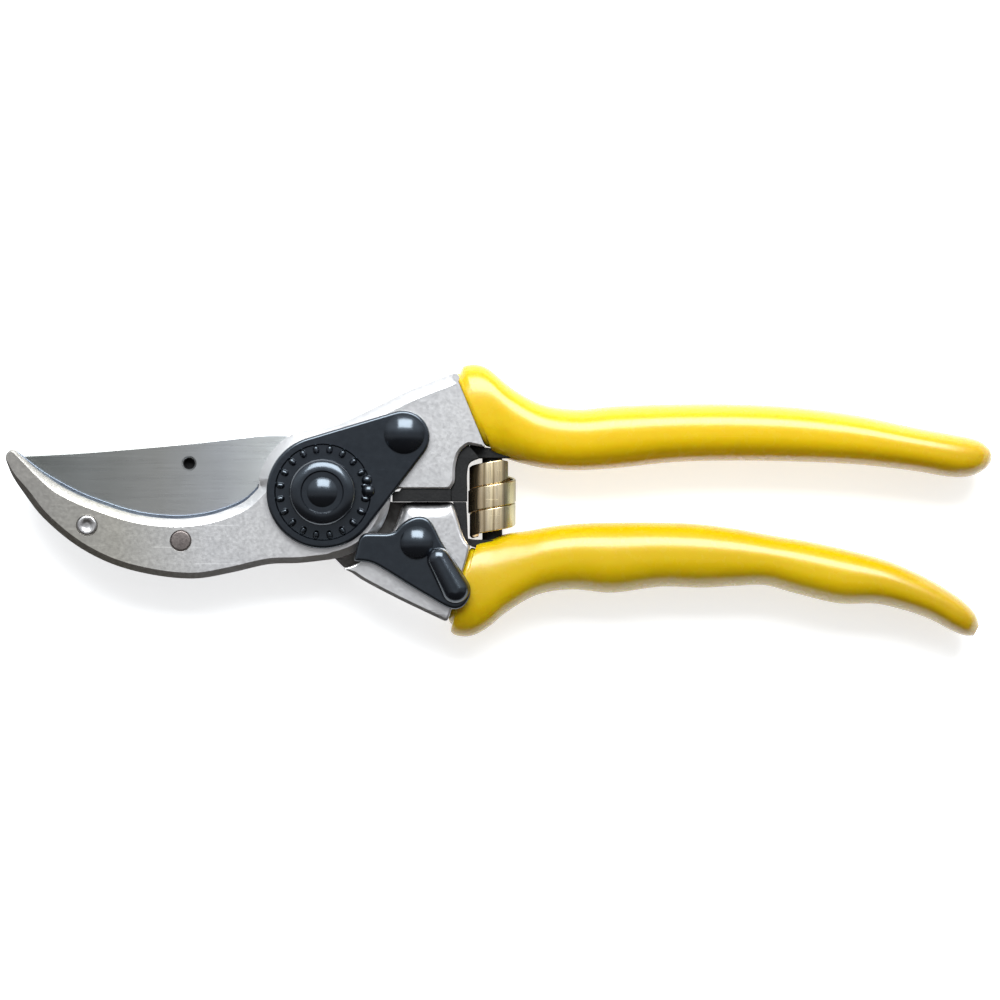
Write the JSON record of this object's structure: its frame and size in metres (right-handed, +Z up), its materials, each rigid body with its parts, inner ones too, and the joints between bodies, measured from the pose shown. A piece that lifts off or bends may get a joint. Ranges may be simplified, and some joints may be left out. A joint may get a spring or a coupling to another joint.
{
  "type": "pruning shears",
  "caption": "Bypass pruning shears with forged handles, yellow grips, a hooked counter-blade, a toothed pivot nut, a volute spring and a thumb catch",
  "frame": {"origin": "On the pivot axis, on the flat rear face of the pivot bolt, which lies on the table", "axes": "+X along the shears from the pivot to the handle ends (the jaws point to -X), +Y across the handles to the handle with the hook, +Z up from the table to the nut's side"},
  "size_m": [0.2152, 0.0597, 0.0218],
  "materials": {
    "forged_aluminium": "satin, forged and tumbled",
    "yellow_grip": "glossy dipped vinyl",
    "counter_steel": "ground",
    "blade_steel": "brushed",
    "bright_steel": "turned",
    "dark_steel": "turned, darkened",
    "black_coating": "glossy black coating",
    "black_rubber": "moulded rubber",
    "plated_spring": "yellow plated"
  },
  "bodies": {
    "upper_handle": {"upper_frame": "forged_aluminium", "upper_grip": "yellow_grip", "counter_blade": "counter_steel", "front_rivet": "bright_steel", "rear_rivet": "dark_steel", "pivot_bolt": "dark_steel", "pivot_nut": "black_coating", "segment_plate": "black_coating", "segment_screw": "black_coating", "cushion": "black_rubber", "upper_spring_seat": "black_rubber", "spring": "plated_spring"},
    "lower_handle": {"lower_frame": "forged_aluminium", "lower_grip": "yellow_grip", "cutting_blade": "blade_steel", "blade_pin": "bright_steel", "lower_spring_seat": "black_rubber", "catch_rivet": "black_coating", "catch_washer": "bright_steel"},
    "catch": {"thumb_catch": "black_coating"}
  },
  "joints": [
    {"name": "handle_pivot", "type": "hinge", "parent": "upper_handle", "child": "lower_handle", "pos_m": [0, 0, 0.008], "axis": [0, 0, -1], "range_deg": [0, 32], "deforming": ["spring"]},
    {"name": "catch_pivot", "type": "hinge", "parent": "lower_handle", "child": "catch", "pos_m": [0.0204, -0.011, 0.0163], "axis": [0, 0, 1], "range_deg": [0, 18]}
  ]
}
